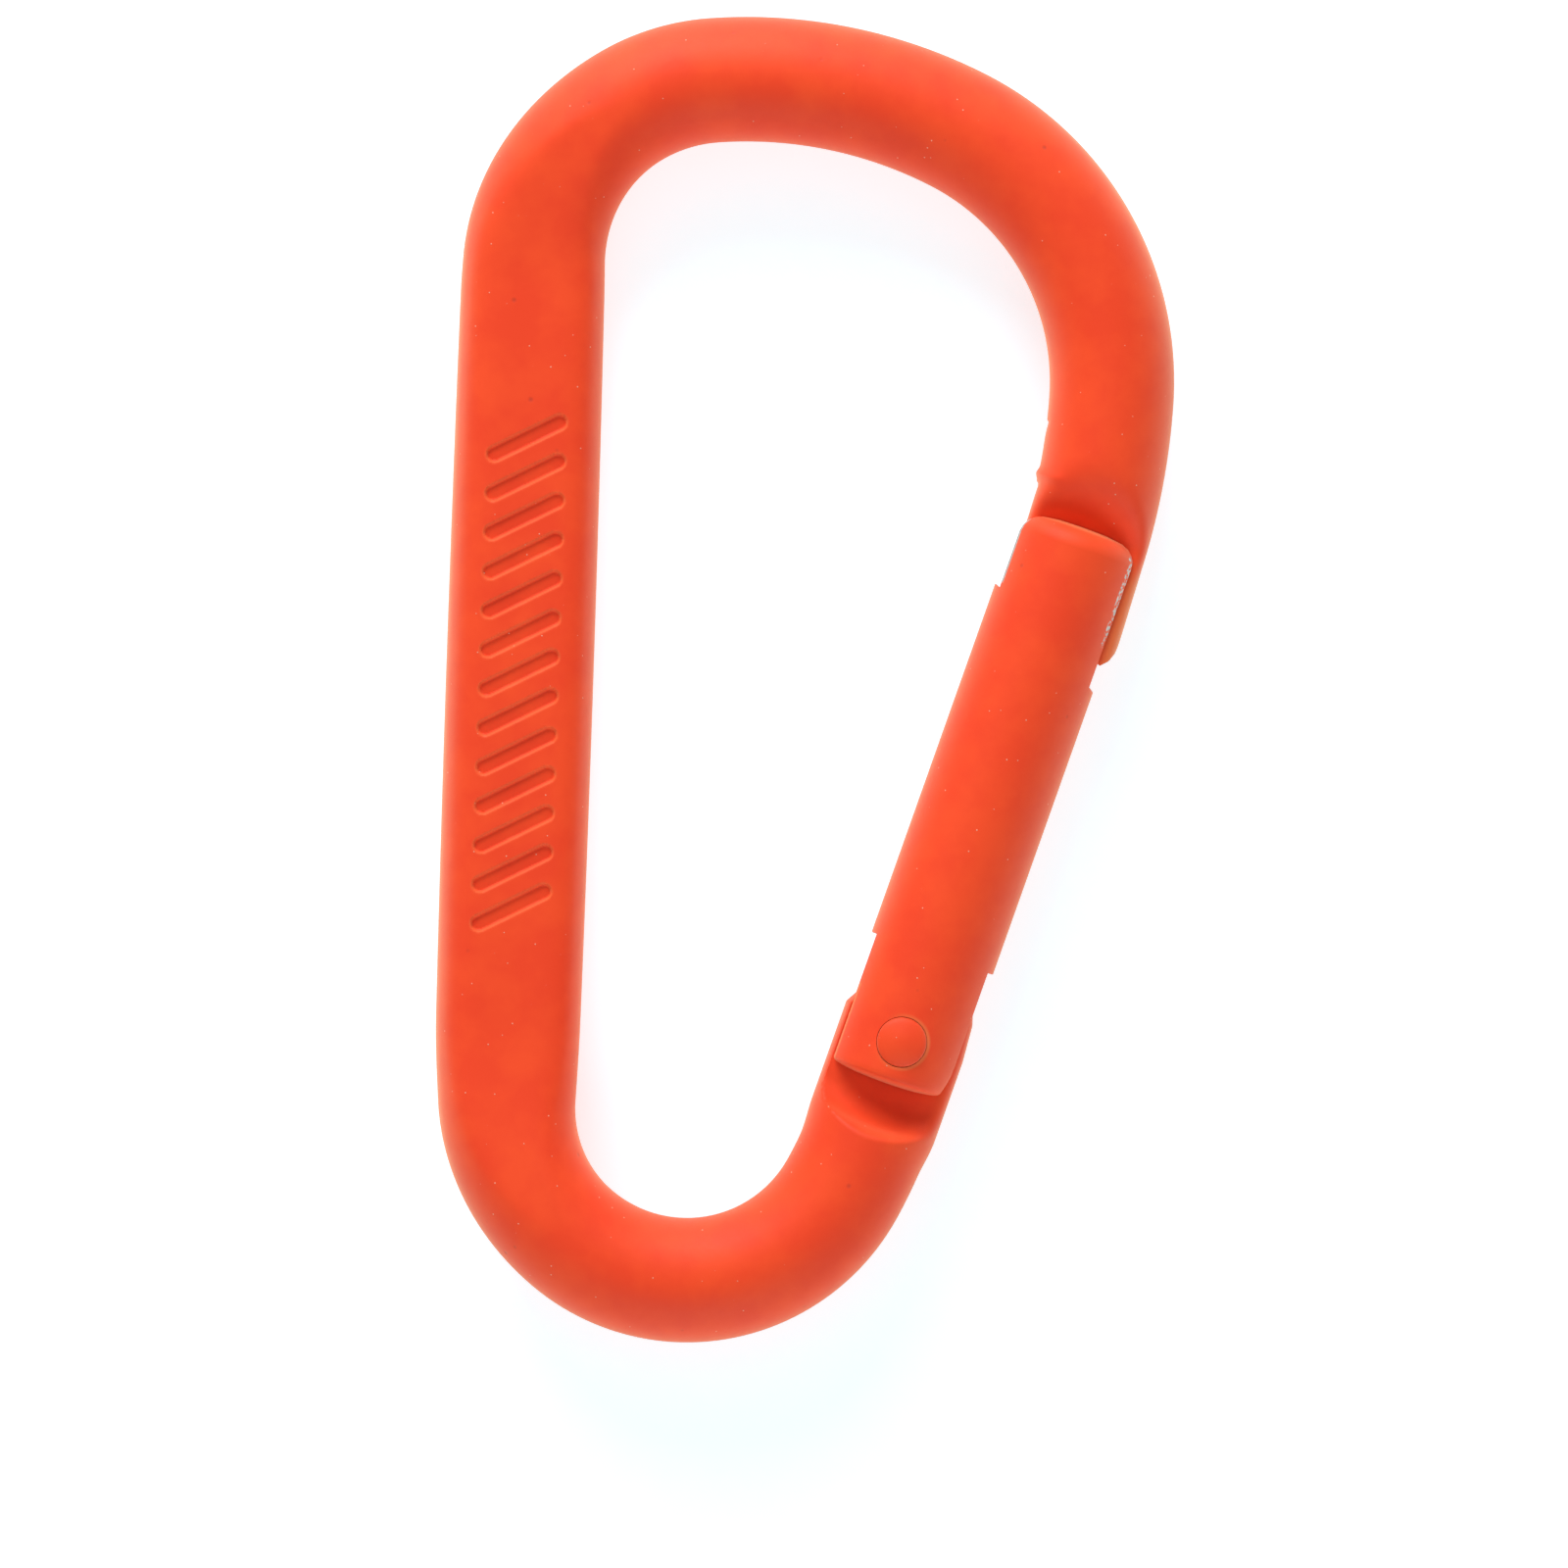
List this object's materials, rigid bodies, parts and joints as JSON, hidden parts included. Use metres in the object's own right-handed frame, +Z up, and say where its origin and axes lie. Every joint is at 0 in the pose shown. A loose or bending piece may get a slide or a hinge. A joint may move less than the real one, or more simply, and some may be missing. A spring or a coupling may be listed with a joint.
{
  "type": "carabiner keyring",
  "caption": "Flat-lying D-shaped keyring carabiner bent from round rod, with a pressed flat spine and a sprung slotted gate on a riveted hinge.",
  "frame": {"origin": "middle of the outline in X and Y, with z = 0 on the surface that the carabiner lies on, under the lower rivet head", "axes": "+Y along the spine towards the wide end and the gate's nose, +X from the spine across to the gate, +Z up out of the D's plane"},
  "size_m": [0.0433, 0.08, 0.0085],
  "materials": {
    "frame_coating": "matte",
    "gate_coating": "matte",
    "rivet_coating": "matte",
    "plunger_steel": "satin",
    "spring_steel": "satin"
  },
  "bodies": {
    "frame": {"frame": "frame_coating"},
    "gate": {"gate": "gate_coating", "hinge_rivet": "rivet_coating", "gate_spring": "spring_steel"},
    "plunger": {"plunger": "plunger_steel"}
  },
  "joints": [
    {"name": "gate_hinge", "type": "hinge", "parent": "frame", "child": "gate", "pos_m": [0.00657, -0.02137, 0.00427], "axis": [0, 0, 1], "range_deg": [0, 47], "stiffness_Nm_per_rad": 0.06, "springref_deg": -40.11},
    {"name": "plunger_slide", "type": "slide", "parent": "gate", "child": "plunger", "axis": [0.3024, 0.9532, 0], "range_m": [0, 0.0012], "deforming": ["gate_spring"]}
  ],
  "couplings": [
    {"joint": "plunger_slide", "follows": "gate_hinge", "m_per_rad": 0.00125}
  ]
}
